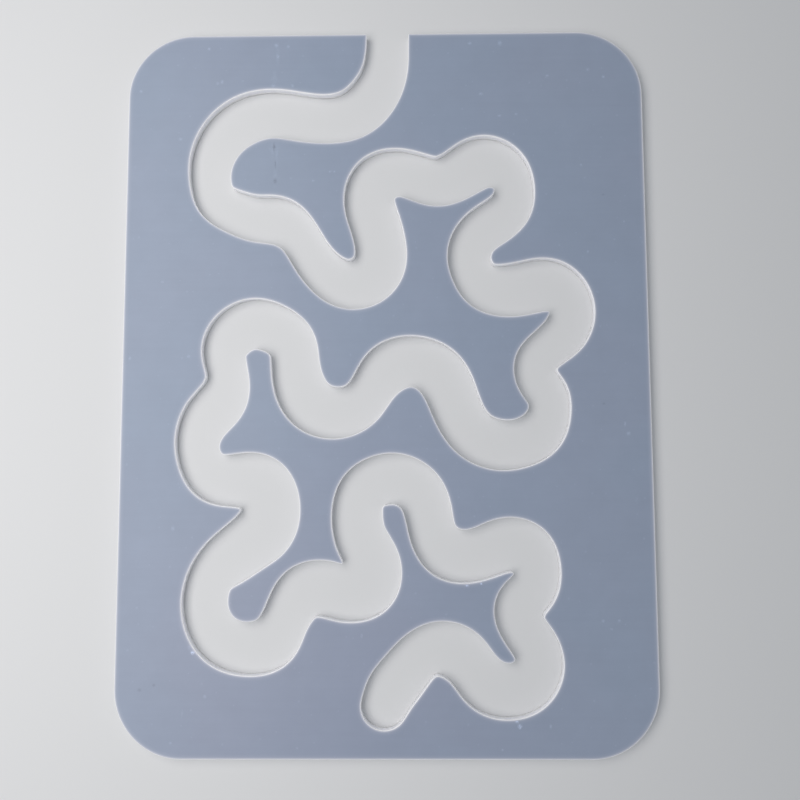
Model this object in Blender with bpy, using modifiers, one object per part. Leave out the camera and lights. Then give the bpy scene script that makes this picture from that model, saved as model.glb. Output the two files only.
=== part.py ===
"""Quilting template: a flat frosted sheet with one winding channel for a round ruler foot.

Metres, +Z up. The sheet lies with its underside on Z = 0 and its centre on the Z axis. The channel
goes right through the sheet, opens at the +Y edge and ends in a round end near the -Y edge.

The channel is the room that a round foot needs on its way: at each place on FOOT_WAY_SQUARES the
foot's circle is as wide as the channel there, and the banks are the curves that touch the circles.
"""

import math

import bmesh
import bpy
import numpy as np

# The sheet
PLATE_WIDTH = 0.170
PLATE_LENGTH = 0.234
PLATE_THICKNESS = 0.003
CORNER_RADIUS = 0.0215
# Both rims are broken by this much, so that the edge doesn't snag the cloth
EDGE_BREAK = 0.0002

# The channel: its full width, and how far back along each bank the nose of a pointed tip begins
CHANNEL_WIDTH = 0.016
NOSE_LENGTH = 0.0008
NOSE_POINTS = 13

# How finely curves are followed, and how far a facet may leave its curve
WAY_STEP = 0.0005
FACET_SAG = 0.00004
# The middle of an arc's facet stays at least this share of the radius away from the centre
FACET_MIDDLE_SHARE = 0.5
# A point this far inside a circle still counts as on it
ON_CIRCLE_SLACK = 0.000003
# Two lines at less than this angle count as parallel
PARALLEL_ANGLE = math.radians(5)
# Merging distance where the two faces of the sheet meet its wall
WELD_DISTANCE = 0.000001

# The sheet's centre, as a share of its width and of its length
CENTRE_SHARE = 0.5

# The channel was drawn by eye on squared paper, with this many squares across the sheet, down the
# sheet and across a channel of full width
SQUARES_ACROSS = 170
SQUARES_DOWN = 234
SQUARES_WIDE = 16

# The way of the foot's middle on that paper, from the mouth to the blind end: squares from the sheet's
# left edge, squares down from the mouth's edge, and the width of the channel there
FOOT_WAY_SQUARES = (
    # In at the mouth and over to the left
    (86, -8, 14),
    (86, 5, 14),
    (85, 13, 15),
    (81, 21.5, 16.5),
    (75, 27, 17),
    (66, 29, 16.5),
    (56, 28, 16.5),
    (48, 27, 16.5),
    (39, 29, 17),
    # Round the broad first tongue and down past its point
    (32, 34.5, 16),
    (28, 42.5, 14.5),
    (27.5, 49, 13.5),
    (30, 56.5, 13.5),
    (36.5, 60.5, 14.5),
    (43, 62.5, 15.5),
    (50.5, 63.5, 16),
    (56, 67.5, 14),
    (61, 75, 13.5),
    (66, 81, 14.5),
    (72.5, 84.5, 16),
    (79.5, 83, 17),
    # Up again and over the top of the tall island's neck
    (83, 78.5, 17),
    (83.5, 71.5, 16.5),
    (81.5, 63.5, 16.5),
    (80, 55.5, 16.5),
    (83, 49.5, 17),
    (90, 47.5, 16),
    (96, 49, 16),
    (102, 50.5, 16.5),
    (109.5, 48, 17),
    (118, 44, 17.5),
    (124.5, 46.5, 15),
    # Back down under the right-hand horn
    (127.5, 53, 13),
    (126, 59.5, 14),
    (120.5, 64.5, 15),
    (115, 69, 14.5),
    (112.5, 75.5, 14),
    (113.5, 80.5, 14),
    (117.5, 85.5, 15.5),
    # Out to the right and round the second horn
    (124, 87, 17),
    (131.5, 86, 17.5),
    (139, 85.5, 17),
    (143.5, 88.5, 15.5),
    (145.5, 94.5, 14.5),
    (143, 101, 14.5),
    (137.5, 106, 13.5),
    # Past the sharp tip on the right and round the lower end of the island
    (133.5, 111, 13.5),
    (134, 116, 13.5),
    (137, 121, 13.5),
    (137.5, 127, 13.5),
    (134.5, 133, 15),
    (128, 136.5, 15.5),
    (122, 137, 16),
    # Two waves back to the left
    (114, 134, 16),
    (109, 127.5, 16),
    (106, 120, 16.5),
    (102, 113.5, 17),
    (94, 110, 16.5),
    (86.5, 112, 16.5),
    (81, 118.5, 14.5),
    (76.5, 124, 15),
    (69, 126.5, 16.5),
    (61, 123.5, 17),
    (57.5, 118, 16.5),
    # Over the narrow tongue on the left
    (56, 110.5, 15.5),
    (54.5, 103.5, 15.5),
    (49, 99, 16),
    (42.5, 97.5, 16.5),
    (36, 100.5, 16),
    (33, 106, 14.5),
    (34, 114, 13.5),
    # Down the left side, in to the sharp tip and out again
    (32.5, 122, 16),
    (28, 127.5, 16),
    (25, 134, 14.5),
    (25.5, 141, 14),
    (30, 147, 15.5),
    (38, 148, 17),
    (45, 149.5, 19),
    (48.5, 156.5, 18.5),
    (46.5, 163.5, 19),
    (41.5, 168, 18),
    (35.5, 172.5, 17),
    (31, 176.5, 15),
    # Round the club-shaped tongue at the lower left
    (28, 184.5, 14.5),
    (29, 192, 15),
    (33.5, 198, 16),
    (42, 200.5, 16.5),
    (49, 198.5, 16.5),
    (52.5, 193.5, 15),
    (55.5, 187.5, 15.5),
    # Across to the middle and up round the slim tongue
    (59.5, 183, 17),
    (65.5, 182, 17.5),
    (72.5, 183.5, 17.5),
    (79.5, 181.5, 18),
    (81, 175, 17.5),
    (77.5, 167, 16.5),
    (76, 159, 16),
    (78, 151.5, 15.5),
    (84, 148, 16),
    (90, 148, 16),
    (96, 152, 15.5),
    (98.5, 158, 15),
    # A low wave to the right
    (100.5, 166, 15),
    (105, 171, 16.5),
    (111, 172, 16.5),
    (117, 170.5, 16.5),
    (123.5, 168.5, 17),
    (129.5, 170, 16.5),
    # Down the right side, past the last tip
    (132.5, 175.5, 15),
    (131.5, 182, 15),
    (127, 188, 15.5),
    (128, 194, 14.5),
    (131.5, 199.5, 14.5),
    (133, 205.5, 15),
    (129.5, 211.5, 16.5),
    # Back over a last wave and down to the blind end
    (123.5, 213.5, 17),
    (117.5, 212, 17),
    (112.5, 207, 16),
    (107.5, 202, 17),
    (101.5, 200.5, 16.5),
    (95.5, 203, 15.5),
    (90.5, 208.5, 16),
    (87, 213, 16),
    (84.5, 218, 14.5),
)

# The frosted plastic
FROST_COLOUR = (0.302, 0.347, 0.462, 1.0)
FROST_ROUGHNESS = 0.42
FROST_METALLIC = 0.0
# Edges are shaded sharp beyond the first angle and broken beyond the second
SHARP_ANGLE = math.radians(30)
BROKEN_ANGLE = math.radians(60)

COLLECTION_NAME = "quilting_template"
PLATE_NAME = "template_plate"


def foot_way():
    """The places of the foot's middle with the foot's radius there, in metres, as rows of x, y, radius."""
    across, down, wide = np.array(FOOT_WAY_SQUARES).T
    x = (across / SQUARES_ACROSS - CENTRE_SHARE) * PLATE_WIDTH
    y = (CENTRE_SHARE - down / SQUARES_DOWN) * PLATE_LENGTH
    return np.column_stack([x, y, wide / SQUARES_WIDE * CHANNEL_WIDTH / 2])


def smooth_curve(knots, step):
    """The cubic curve through the knots with no jump in its bend, and its slope, about a step apart.

    The curve runs by the straight distances between the knots, and is unbent at both ends.
    """
    gaps = np.linalg.norm(np.diff(knots[:, :2], axis=0), axis=1)
    marks = np.concatenate([[0.0], np.cumsum(gaps)])
    count = len(knots)
    slopes = np.diff(knots, axis=0) / gaps[:, None]
    links = np.eye(count)
    pulls = np.zeros_like(knots)
    for i in range(1, count - 1):
        links[i, i - 1 : i + 2] = gaps[i - 1], 2 * (gaps[i - 1] + gaps[i]), gaps[i]
        pulls[i] = 6 * (slopes[i] - slopes[i - 1])
    bends = np.linalg.solve(links, pulls)

    places = np.linspace(0.0, marks[-1], round(marks[-1] / step) + 1)
    left = np.clip(np.searchsorted(marks, places, side="right") - 1, 0, count - 2)
    gap = gaps[left, None]
    past = places[:, None] - marks[left, None]
    ahead = gap - past
    bend_0 = bends[left]
    bend_1 = bends[left + 1]
    start = knots[left] / gap - bend_0 * gap / 6
    end = knots[left + 1] / gap - bend_1 * gap / 6
    points = (bend_0 * ahead**3 + bend_1 * past**3) / (6 * gap) + start * ahead + end * past
    slope = (bend_1 * past**2 - bend_0 * ahead**2) / (2 * gap) - start + end
    return points, slope


def crossing(a, b, c, d):
    """The point where the line from a through b meets the line from d through c."""
    first = b - a
    second = c - d
    spread = first[0] * second[1] - first[1] * second[0]
    if abs(spread) < np.linalg.norm(first) * np.linalg.norm(second) * math.sin(PARALLEL_ANGLE):
        return (b + c) / 2
    away = c - b
    return b + first * (away[0] * second[1] - away[1] * second[0]) / spread


def arc(centre, radius, start, turn):
    """Points on an arc about the centre from the start angle through the turn, both ends included."""
    half_facet = math.acos(max(1 - FACET_SAG / radius, FACET_MIDDLE_SHARE))
    steps = math.ceil(abs(turn) / (2 * half_facet))
    angles = start + turn * np.arange(steps + 1) / steps
    return np.asarray(centre) + radius * np.column_stack([np.cos(angles), np.sin(angles)])


def nose(before, tip, after):
    """The path before a tip, a round nose and the path after it.

    The nose starts and ends where the banks are NOSE_LENGTH from the tip, so a sharp tip gets a finer
    nose than a blunt one. It is a cubic curve, as near to an arc as such a curve can be.
    """
    before = before[: np.flatnonzero(np.linalg.norm(before - tip, axis=1) >= NOSE_LENGTH)[-1] + 1]
    after = after[np.flatnonzero(np.linalg.norm(after - tip, axis=1) >= NOSE_LENGTH)[0] :]
    start = before[-1]
    end = after[0]
    corner = crossing(before[-2], start, end, after[1])
    inward = corner - start
    outward = end - corner
    turn = math.remainder(math.atan2(*outward[::-1]) - math.atan2(*inward[::-1]), math.tau)
    hold = (1 - math.tan(turn / 4) ** 2) * 2 / 3
    share = np.linspace(0, 1, NOSE_POINTS)[1:-1, None]
    rest = 1 - share
    ends = rest**3 * start + share**3 * end
    middle = rest * (start + inward * hold) + share * (end - outward * hold)
    return np.vstack([before, ends + 3 * rest * share * middle, after])


def bank(points, slope, side):
    """One edge of the channel, mouth first: side is 1 for the foot's left hand and -1 for its right.

    What lies inside another circle is cleared away, and so are stretches too short for two noses. Each
    tip that is left standing gets its nose.
    """
    centres = points[:, :2]
    radii = points[:, 2]
    speed = np.linalg.norm(slope[:, :2], axis=1)
    along = slope[:, :2] / speed[:, None]
    growth = slope[:, 2] / speed
    across = side * np.column_stack([-along[:, 1], along[:, 0]])
    outward = across * np.sqrt(1 - growth**2)[:, None] - along * growth[:, None]
    edge = centres + outward * radii[:, None]
    clear_of = np.linalg.norm(edge[:, None] - centres[None], axis=2) - radii[None]
    standing = np.flatnonzero(clear_of.min(axis=1) > -ON_CIRCLE_SLACK)

    stretches = np.split(standing, np.flatnonzero(np.diff(standing) > 1) + 1)
    spans = [np.linalg.norm(edge[stretch[-1]] - edge[stretch[0]]) for stretch in stretches]
    stretches = [stretch for stretch, span in zip(stretches, spans) if span > 2 * NOSE_LENGTH]
    path = edge[stretches[0]]
    for last, stretch in zip(stretches[:-1], stretches[1:]):
        tip = crossing(edge[last[-1] - 1], edge[last[-1]], edge[stretch[0]], edge[stretch[0] + 1])
        path = nose(path, tip, edge[stretch])
    return path


def cut_at_edge(path):
    """The part of a bank that lies in the sheet, starting on the mouth's edge."""
    edge_y = PLATE_LENGTH / 2
    first = int(np.flatnonzero(path[:, 1] < edge_y)[0])
    before = path[first - 1]
    after = path[first]
    share = (before[1] - edge_y) / (before[1] - after[1])
    return np.vstack([before + (after - before) * share, path[first:]])


def thinned(path):
    """The path with only the points that keep its facets within FACET_SAG of it."""
    kept = [0]
    last = len(path) - 1
    while kept[-1] < last:
        here = kept[-1]
        there = here + 1
        while there < last and strays(path[here : there + 2]) <= FACET_SAG:
            there += 1
        kept.append(there)
    return path[kept]


def strays(run):
    """The greatest distance of a run's points from the straight line between its ends."""
    line = run[-1] - run[0]
    offsets = run - run[0]
    length = np.linalg.norm(line)
    if length == 0:
        return np.linalg.norm(offsets, axis=1).max()
    return np.abs(offsets[:, 0] * line[1] - offsets[:, 1] * line[0]).max() / length


def channel_outline():
    """The channel's edge from the mouth down one bank, round the blind end and up the other bank."""
    points, slope = smooth_curve(foot_way(), WAY_STEP)
    right_bank = cut_at_edge(bank(points, slope, side=-1))
    left_bank = cut_at_edge(bank(points, slope, side=1))
    centre = points[-1, :2]
    start = math.atan2(*(right_bank[-1] - centre)[::-1])
    finish = math.atan2(*(left_bank[-1] - centre)[::-1])
    blind_end = arc(centre, points[-1, 2], start, (finish - start) % math.tau)
    return np.vstack([thinned(right_bank), blind_end[1:-1], thinned(left_bank)[::-1]])


def plate_outline():
    """The sheet's edge, counter-clockwise, starting at the upper left corner."""
    reach_x = PLATE_WIDTH / 2 - CORNER_RADIUS
    reach_y = PLATE_LENGTH / 2 - CORNER_RADIUS
    quarter = math.pi / 2
    corners = [
        arc((sign_x * reach_x, sign_y * reach_y), CORNER_RADIUS, turns * quarter, quarter)
        for sign_x, sign_y, turns in ((-1, 1, 1), (-1, -1, 2), (1, -1, 3), (1, 1, 0))
    ]
    return np.vstack([*corners, channel_outline()[::-1]])


def frosted_plastic():
    """The one material: blue-grey, milky, with a satin face."""
    material = bpy.data.materials.new("frosted_plastic")
    material.use_nodes = True
    shader = material.node_tree.nodes["Principled BSDF"]
    shader.inputs["Base Color"].default_value = FROST_COLOUR
    shader.inputs["Roughness"].default_value = FROST_ROUGHNESS
    shader.inputs["Metallic"].default_value = FROST_METALLIC
    material.diffuse_color = FROST_COLOUR
    return material


def flat_outline(name, outline, thickness):
    """A filled flat curve with the outline, as thick as asked, about its own middle height."""
    curve = bpy.data.curves.new(name, "CURVE")
    curve.dimensions = "2D"
    curve.fill_mode = "BOTH"
    curve.extrude = thickness / 2
    spline = curve.splines.new("POLY")
    spline.points.add(len(outline) - 1)
    spline.points.foreach_set("co", np.column_stack([outline, np.zeros_like(outline)]).ravel())
    spline.use_cyclic_u = True
    return bpy.data.objects.new(name, curve)


def as_mesh_object(source, collection):
    """A mesh object in place of a curve object, with the curve's faces welded to its wall."""
    collection.objects.link(source)
    bpy.context.view_layer.update()
    evaluated = source.evaluated_get(bpy.context.evaluated_depsgraph_get())
    mesh = bpy.data.meshes.new_from_object(evaluated)
    made = bpy.data.objects.new(source.name, mesh)
    made.matrix_world = source.matrix_world
    name = source.name
    curve = source.data
    bpy.data.objects.remove(source)
    bpy.data.curves.remove(curve)
    made.name = name
    mesh.name = name
    collection.objects.link(made)
    return made


def weld(mesh):
    """Joins the mesh's points that lie together."""
    shape = bmesh.new()
    shape.from_mesh(mesh)
    bmesh.ops.remove_doubles(shape, verts=shape.verts, dist=WELD_DISTANCE)
    shape.to_mesh(mesh)
    shape.free()


def template_plate(collection):
    """The sheet with its channel and broken rims."""
    outline = flat_outline(PLATE_NAME, plate_outline(), PLATE_THICKNESS)
    outline.location.z = PLATE_THICKNESS / 2
    plate = as_mesh_object(outline, collection)
    weld(plate.data)
    plate.data.materials.append(frosted_plastic())
    plate.data.shade_smooth()
    plate.data.set_sharp_from_angle(angle=SHARP_ANGLE)
    rims = plate.modifiers.new("broken_rims", "BEVEL")
    rims.width = EDGE_BREAK
    rims.limit_method = "ANGLE"
    rims.angle_limit = BROKEN_ANGLE
    return plate


def main():
    for old in list(bpy.data.objects):
        bpy.data.objects.remove(old)
    collection = bpy.data.collections.new(COLLECTION_NAME)
    bpy.context.scene.collection.children.link(collection)
    template_plate(collection)


if __name__ == "__main__":
    main()
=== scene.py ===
"""Quilting template: a flat frosted sheet with one winding channel, seen from above.

The fixed frame holds the sheet as one node. The sheet that shows is built again from that node's
outline, with smooth walls, rounded rims and small wear, and is dressed in two finishes: the milky,
satin face and the paler cut edge. It lies on a plain pale floor under soft studio light.
"""

from __future__ import annotations

import logging
import math
from dataclasses import dataclass
from enum import Enum, IntEnum
from typing import Any

import bmesh
import bpy
import numpy as np
from mathutils import Matrix, Vector
from mathutils.geometry import delaunay_2d_cdt

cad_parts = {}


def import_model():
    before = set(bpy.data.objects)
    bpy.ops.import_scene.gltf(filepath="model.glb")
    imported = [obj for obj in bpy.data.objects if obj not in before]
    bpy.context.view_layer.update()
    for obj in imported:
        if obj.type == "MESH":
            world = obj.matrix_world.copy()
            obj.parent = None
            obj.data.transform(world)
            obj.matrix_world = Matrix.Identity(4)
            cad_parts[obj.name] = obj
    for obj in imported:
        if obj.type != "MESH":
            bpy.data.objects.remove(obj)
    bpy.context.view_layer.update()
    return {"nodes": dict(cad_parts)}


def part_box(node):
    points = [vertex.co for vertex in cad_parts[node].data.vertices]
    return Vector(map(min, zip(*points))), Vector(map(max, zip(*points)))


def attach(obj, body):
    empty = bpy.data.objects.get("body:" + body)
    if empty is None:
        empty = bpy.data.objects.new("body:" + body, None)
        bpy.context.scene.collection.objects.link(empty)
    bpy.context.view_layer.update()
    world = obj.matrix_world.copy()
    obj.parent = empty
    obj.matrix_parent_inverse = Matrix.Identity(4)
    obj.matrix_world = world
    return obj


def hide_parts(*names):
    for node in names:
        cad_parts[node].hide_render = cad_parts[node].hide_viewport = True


PLATE_NODE = "template_plate"
BODY = "root"

MILLIMETRE = 0.001
PLASTIC_IOR = 1.49
# The height of an equal-sided triangle, as a share of its side
TRIANGLE_HEIGHT = math.sqrt(0.75)
# The kind of filling that keeps the triangles inside the edge
FILL_INSIDE = 1
# Points nearer to each other than this are one when a face is filled, in millimetres
FILL_WELD = 1e-6

log = logging.getLogger("quilting_template")


class Patch(IntEnum):
    """The sheet's material slots."""

    FACE = 0
    EDGE = 1


class MarkKind(Enum):
    """What a small mark on the face looks like, as its lightness change and its softness."""

    PALE_SPECK = (0.24, 0.95)
    DARK_SPECK = (-0.14, 0.9)
    PALE_SCUFF = (0.08, 1.0)
    DARK_SCUFF = (-0.28, 0.8)
    ROUGH_PATCH = (0.95, 0.8)


class Channel(Enum):
    """The names of the values that the mesh carries for its finishes."""

    INSET = "inset"
    DEPTH = "depth"
    RUN = "run"
    WEAR = "wear"


def place_on_sheet(across: float, down: float, low: Vector, high: Vector) -> np.ndarray:
    """A place on the sheet, measured from its edges.

    Args:
        across: How far it is from the sheet's left edge, in millimetres.
        down: How far it is from the mouth's edge, in millimetres.
        low: The sheet's lowest corner.
        high: The sheet's highest corner.

    Returns:
        Its x and y.
    """
    return np.array([low.x + across * MILLIMETRE, high.y - down * MILLIMETRE])


@dataclass(frozen=True)
class Mark:
    """A small mark on the upper face, in millimetres.

    Attributes:
        kind: What it looks like.
        across: How far its middle is from the sheet's left edge.
        down: How far its middle is from the mouth's edge.
        width: Its size across the sheet.
        height: Its size along the sheet.
    """

    kind: MarkKind
    across: float
    down: float
    width: float
    height: float

    def middle(self, low: Vector, high: Vector) -> np.ndarray:
        """Its middle on the sheet between the corners low and high, as x and y."""
        return place_on_sheet(self.across, self.down, low, high)

    def half_size(self) -> np.ndarray:
        """Half its width and half its height, in metres."""
        return np.array([self.width, self.height]) * MILLIMETRE / 2

    def mesh_points(
        self, low: Vector, high: Vector, rings: int = 3, spokes: int = 8, slimness: float = 3.0
    ) -> np.ndarray:
        """The points that the sheet's mesh needs to show the mark.

        Args:
            low: The sheet's lowest corner.
            high: The sheet's highest corner.
            rings: How many rings of points lie about each of its stations.
            spokes: How many points each ring has.
            slimness: How many times its width each station covers along the mark.

        Returns:
            Rows of x and y.
        """
        half = self.half_size()
        stations = math.ceil(half[1] / half[0] / slimness)
        heights = (np.arange(stations) + 0.5) / stations * 2 - 1
        found = [np.array([[0.0, height]]) for height in heights]
        for ring in range(1, rings + 1):
            angles = np.arange(spokes) * math.tau / spokes + ring * math.pi / spokes
            circle = np.column_stack([np.cos(angles), np.sin(angles) / stations]) * ring / rings
            found.extend(circle + (0.0, height) for height in heights)
        return self.middle(low, high) + np.vstack(found) * half

    def change_at(self, points: np.ndarray, low: Vector, high: Vector) -> np.ndarray:
        """How much lighter the plastic is at each point because of the mark.

        Args:
            points: Rows of x and y.
            low: The sheet's lowest corner.
            high: The sheet's highest corner.

        Returns:
            The change at each point.
        """
        change, softness = self.kind.value
        distance = np.linalg.norm((points - self.middle(low, high)) / self.half_size(), axis=1)
        share = np.clip((1.0 - distance) / softness, 0.0, 1.0)
        return change * share**2 * (3.0 - 2.0 * share)


@dataclass(frozen=True)
class Chip:
    """A small bite out of the upper rim, in millimetres.

    Attributes:
        across: How far it is from the sheet's left edge.
        down: How far it is from the mouth's edge.
        length: How far it runs along the rim.
        depth: How far it goes into the sheet.
    """

    across: float
    down: float
    length: float
    depth: float


MARKS = (
    # The upright scuff at the upper left, in soft lengths, with its dark nicks and pale specks
    Mark(MarkKind.PALE_SCUFF, 49.5, 7, 2, 11),
    Mark(MarkKind.PALE_SCUFF, 48.5, 15, 2, 9),
    Mark(MarkKind.PALE_SCUFF, 48, 39.5, 1.5, 8),
    Mark(MarkKind.PALE_SCUFF, 49.5, 41, 1.5, 11),
    Mark(MarkKind.PALE_SCUFF, 49, 49, 2, 9),
    Mark(MarkKind.DARK_SCUFF, 48.5, 38.5, 1, 4),
    Mark(MarkKind.DARK_SCUFF, 49, 44.5, 0.5, 4),
    Mark(MarkKind.DARK_SCUFF, 49, 50, 1.5, 3),
    Mark(MarkKind.PALE_SPECK, 49, 3.5, 2, 2),
    Mark(MarkKind.PALE_SPECK, 49.5, 7.5, 1.5, 2),
    Mark(MarkKind.PALE_SPECK, 48, 17.5, 1.5, 1.5),
    # Specks over the upper left
    Mark(MarkKind.PALE_SPECK, 31, 16, 1.5, 2),
    Mark(MarkKind.PALE_SPECK, 29.5, 16.5, 1.5, 1.5),
    Mark(MarkKind.PALE_SPECK, 26.5, 4.5, 1.5, 1.5),
    Mark(MarkKind.PALE_SPECK, 4, 19, 1.5, 1.5),
    Mark(MarkKind.PALE_SPECK, 17.5, 35.5, 2, 1.5),
    Mark(MarkKind.PALE_SPECK, 53, 4, 1.5, 1.5),
    Mark(MarkKind.PALE_SPECK, 54.5, 17.5, 1.5, 1.5),
    Mark(MarkKind.PALE_SPECK, 67, 47, 1, 1),
    Mark(MarkKind.PALE_SPECK, 68.5, 47, 1, 1),
    Mark(MarkKind.PALE_SPECK, 61.5, 50, 1.5, 1),
    Mark(MarkKind.PALE_SPECK, 12.5, 83.5, 1.5, 1),
    Mark(MarkKind.PALE_SPECK, 2.5, 108.5, 1, 1.5),
    Mark(MarkKind.PALE_SPECK, 21.5, 108, 1.5, 1.5),
    # Specks over the upper right
    Mark(MarkKind.PALE_SPECK, 123.5, 3.5, 2, 2.5),
    Mark(MarkKind.PALE_SPECK, 113.5, 3.5, 2, 1.5),
    Mark(MarkKind.PALE_SPECK, 117, 21, 2, 1.5),
    Mark(MarkKind.PALE_SPECK, 123, 28.5, 2, 1),
    Mark(MarkKind.PALE_SPECK, 128.5, 28, 1.5, 1),
    Mark(MarkKind.PALE_SPECK, 139, 15, 1.5, 1.5),
    Mark(MarkKind.PALE_SPECK, 152.5, 13, 1.5, 1.5),
    Mark(MarkKind.PALE_SPECK, 157.5, 15.5, 1.5, 1.5),
    Mark(MarkKind.PALE_SPECK, 149.5, 45.5, 1, 1.5),
    Mark(MarkKind.PALE_SPECK, 151, 74.5, 1, 1.5),
    Mark(MarkKind.PALE_SPECK, 163, 64.5, 1, 1),
    Mark(MarkKind.DARK_SPECK, 156.5, 55.5, 1.5, 1),
    # Specks and scratches over the lower part
    Mark(MarkKind.PALE_SPECK, 162.5, 133.5, 2, 2),
    Mark(MarkKind.PALE_SPECK, 161.5, 130.5, 1, 2.5),
    Mark(MarkKind.DARK_SPECK, 155, 124, 1.5, 1),
    Mark(MarkKind.PALE_SCUFF, 164.5, 154.5, 1.5, 3.5),
    Mark(MarkKind.PALE_SPECK, 17.5, 163, 1.5, 2.5),
    Mark(MarkKind.PALE_SPECK, 153, 192, 1.5, 1.5),
    Mark(MarkKind.PALE_SPECK, 158, 192, 1.5, 1.5),
    Mark(MarkKind.PALE_SPECK, 155.5, 194.5, 1.5, 1),
    Mark(MarkKind.PALE_SPECK, 77.5, 196.5, 1, 2),
    Mark(MarkKind.PALE_SPECK, 121, 231, 1.5, 1),
    Mark(MarkKind.PALE_SPECK, 136, 224, 1, 2),
    Mark(MarkKind.DARK_SPECK, 8, 213, 2, 1.5),
    Mark(MarkKind.DARK_SPECK, 12.5, 211.5, 1.5, 1.5),
    Mark(MarkKind.PALE_SPECK, 28.5, 215, 1.5, 1.5),
    Mark(MarkKind.PALE_SCUFF, 21.5, 220, 1, 4),
    Mark(MarkKind.PALE_SPECK, 18, 229, 1.5, 1),
    Mark(MarkKind.PALE_SPECK, 57.5, 230.5, 1, 1),
    Mark(MarkKind.DARK_SPECK, 105, 212, 1, 1),
    # Rough patches beside the cut
    Mark(MarkKind.ROUGH_PATCH, 125.5, 222.5, 1.5, 1),
    Mark(MarkKind.ROUGH_PATCH, 126.5, 224, 1.5, 2),
    Mark(MarkKind.ROUGH_PATCH, 24.5, 201.5, 2, 1.5),
    Mark(MarkKind.PALE_SPECK, 23.5, 200, 1.5, 2),
    Mark(MarkKind.ROUGH_PATCH, 110.5, 181, 1.5, 1),
    Mark(MarkKind.ROUGH_PATCH, 115, 180.5, 1, 1),
)

CHIPS = (
    Chip(26.5, 201, 1.5, 0.25),
    Chip(133, 234, 3, 0.14),
    Chip(140, 234, 2, 0.16),
    Chip(147, 234, 2.5, 0.16),
)


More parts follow.
